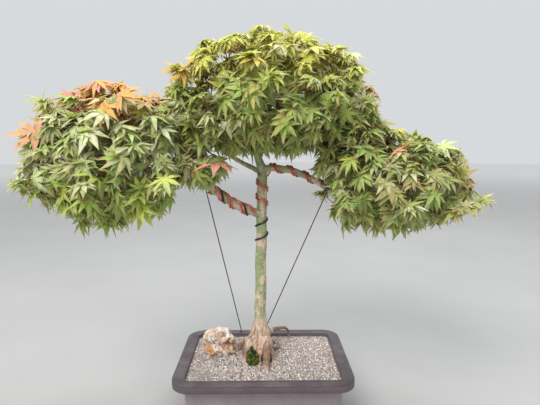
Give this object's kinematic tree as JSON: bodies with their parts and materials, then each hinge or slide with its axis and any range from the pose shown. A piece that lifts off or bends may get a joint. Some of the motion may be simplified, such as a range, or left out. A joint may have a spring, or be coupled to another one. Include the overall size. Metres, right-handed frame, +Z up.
{
  "type": "wired maple bonsai in a training pot",
  "caption": "Wired and guyed Japanese maple bonsai with domed leaf pads, standing in a flanged rectangular training pot of grit with a rock and moss.",
  "frame": {"origin": "centre of the flat pad in the middle of the pot's underside, on the surface the pot stands on", "axes": "+Z up the trunk, +X along the pot's length towards the tree's right side as seen from its front, -Y towards the viewer of the front"},
  "size_m": [0.758, 0.3663, 0.6119],
  "materials": {
    "pot_plastic": "taupe moulded plastic, satin, lightly dusty",
    "grit": "pale mixed grit, dry",
    "screen_plastic": "black plastic mesh sheet",
    "rock_stone": "rugged, cream and orange-brown with dark crevices",
    "moss": "soft green moss",
    "bark": "smooth green bark with tan patches, tan wrinkled roots",
    "copper_wire": "copper-red anodised wire, satin",
    "black_wire": "black anodised wire with worn grey highlights",
    "guy_wire": "dark brown coated wire",
    "leaf": "green maple leaves with red and orange tips"
  },
  "bodies": {
    "root": {"black_wire": "black_wire", "copper_wire_left_1": "copper_wire", "copper_wire_left_2": "copper_wire", "copper_wire_left_3": "copper_wire", "copper_wire_left_4": "copper_wire", "copper_wire_right_1": "copper_wire", "copper_wire_right_2": "copper_wire", "drainage_screen": "screen_plastic", "guy_wire_left": "guy_wire", "guy_wire_right": "guy_wire", "leaf_spray_left_01": "leaf", "leaf_spray_left_02": "leaf", "leaf_spray_left_03": "leaf", "leaf_spray_left_04": "leaf", "leaf_spray_left_05": "leaf", "leaf_spray_left_06": "leaf", "leaf_spray_left_07": "leaf", "leaf_spray_left_08": "leaf", "leaf_spray_left_09": "leaf", "leaf_spray_left_10": "leaf", "leaf_spray_left_11": "leaf", "leaf_spray_left_12": "leaf", "leaf_spray_left_13": "leaf", "leaf_spray_right_01": "leaf", "leaf_spray_right_02": "leaf", "leaf_spray_right_03": "leaf", "leaf_spray_right_04": "leaf", "leaf_spray_right_05": "leaf", "leaf_spray_right_06": "leaf", "leaf_spray_right_07": "leaf", "leaf_spray_right_08": "leaf", "leaf_spray_right_09": "leaf", "leaf_spray_right_10": "leaf", "leaf_spray_right_11": "leaf", "leaf_spray_right_12": "leaf", "leaf_spray_right_13": "leaf", "leaf_spray_right_14": "leaf", "leaf_spray_top_01": "leaf", "leaf_spray_top_02": "leaf", "leaf_spray_top_03": "leaf", "leaf_spray_top_04": "leaf", "leaf_spray_top_05": "leaf", "leaf_spray_top_06": "leaf", "leaf_spray_top_07": "leaf", "leaf_spray_top_08": "leaf", "leaf_spray_top_09": "leaf", "leaf_spray_top_10": "leaf", "leaf_spray_top_11": "leaf", "leaf_spray_top_12": "leaf", "leaf_spray_top_13": "leaf", "leaf_spray_top_14": "leaf", "leaf_spray_top_15": "leaf", "moss": "moss", "pot": "pot_plastic", "rock": "rock_stone", "soil": "grit", "trunk_and_branches": "bark"}
  },
  "joints": []
}
